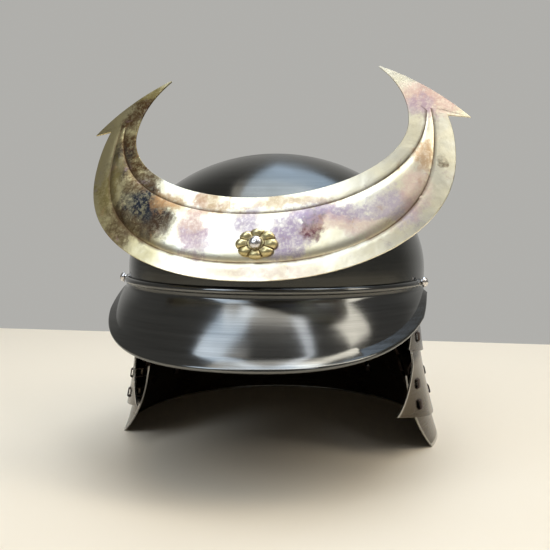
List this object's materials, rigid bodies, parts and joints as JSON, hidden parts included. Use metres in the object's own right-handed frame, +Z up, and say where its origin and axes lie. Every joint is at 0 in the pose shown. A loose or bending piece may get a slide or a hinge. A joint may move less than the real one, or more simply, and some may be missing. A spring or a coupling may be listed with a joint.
{
  "type": "samurai helmet",
  "caption": "Kabuto helmet: plain round iron bowl, flared visor with a beaded top edge, brass crescent crest on a flower washer, and a neck guard of laced, curved iron lames",
  "frame": {"origin": "middle of the bounding box's bottom, on the plane of the lowest lame's rim", "axes": "+Z up, front of the helmet towards -Y, the wearer's left side towards +X"},
  "size_m": [0.2574, 0.3026, 0.2642],
  "materials": {
    "bowl_iron": "blackened and burnished",
    "visor_iron": "blackened and brushed",
    "lame_iron": "blackened, glossy",
    "crest_brass": "pale, tarnished brass with brown and violet spots",
    "rivet_silver": "bright, lightly worn",
    "thong_leather": "dark brown, matte"
  },
  "bodies": {
    "root": {"bowl": "bowl_iron", "visor": "visor_iron", "visor_rivet_left": "rivet_silver", "visor_rivet_right": "rivet_silver", "crest": "crest_brass", "rosette": "crest_brass", "rosette_rivet": "rivet_silver", "lame_top": "lame_iron", "lame_middle": "lame_iron", "lame_bottom": "lame_iron", "lace_1": "thong_leather", "lace_2": "thong_leather", "lace_3": "thong_leather", "lace_4": "thong_leather", "lace_5": "thong_leather", "lace_6": "thong_leather", "lace_7": "thong_leather", "lace_8": "thong_leather", "lace_9": "thong_leather", "lace_10": "thong_leather"}
  },
  "joints": []
}
